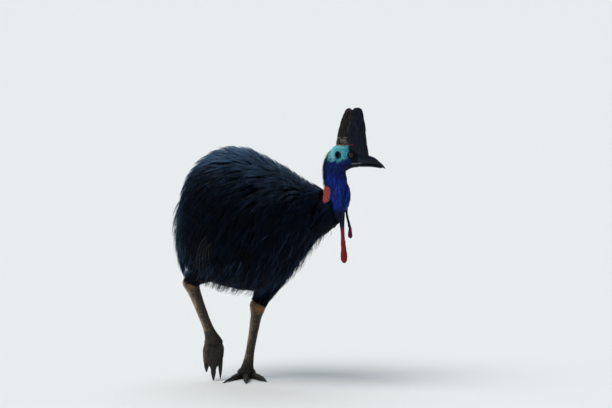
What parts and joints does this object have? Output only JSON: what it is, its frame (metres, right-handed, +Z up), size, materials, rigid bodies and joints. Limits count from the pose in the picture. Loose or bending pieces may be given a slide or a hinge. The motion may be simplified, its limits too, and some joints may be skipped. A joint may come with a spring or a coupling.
{
  "type": "southern cassowary still model",
  "caption": "Life-size still model of a large flightless bird in mid stride, black coat, tall casque, bare blue neck, hanging red wattles.",
  "frame": {"origin": "on the floor, under the middle of the model's length and width", "axes": "+X is the way the body faces, +Y is the bird's left, +Z is up"},
  "size_m": [1.0628, 0.5226, 1.3025],
  "materials": {
    "coat": "glossy black, hair-like feathers",
    "quill": "bare horn quills",
    "neck_skin": "wrinkled bare skin, deep blue with a red nape",
    "face_skin": "bare skin, pale turquoise blue",
    "casque": "worn horn, brown to black",
    "bill": "smooth black horn",
    "eye": "amber iris, wet gloss",
    "wattle": "soft wrinkled red skin",
    "leg_skin": "scaled grey-brown skin",
    "foot_skin": "dark scaled skin",
    "claw": "dark horn"
  },
  "bodies": {
    "root": {"torso": "coat", "tail": "coat", "thigh_left": "coat", "thigh_right": "coat", "wing_left": "quill", "wing_right": "quill", "neck": "neck_skin", "head": "face_skin", "casque": "casque", "bill_upper": "bill", "bill_lower": "bill", "eye_left": "eye", "eye_right": "eye", "wattle_left": "wattle", "wattle_right": "wattle", "shank_left": "leg_skin", "shank_right": "leg_skin", "toe_inner_left": "foot_skin", "claw_inner_left": "claw", "toe_middle_left": "foot_skin", "claw_middle_left": "claw", "toe_outer_left": "foot_skin", "claw_outer_left": "claw", "toe_inner_right": "foot_skin", "claw_inner_right": "claw", "toe_middle_right": "foot_skin", "claw_middle_right": "claw", "toe_outer_right": "foot_skin", "claw_outer_right": "claw"}
  },
  "joints": []
}
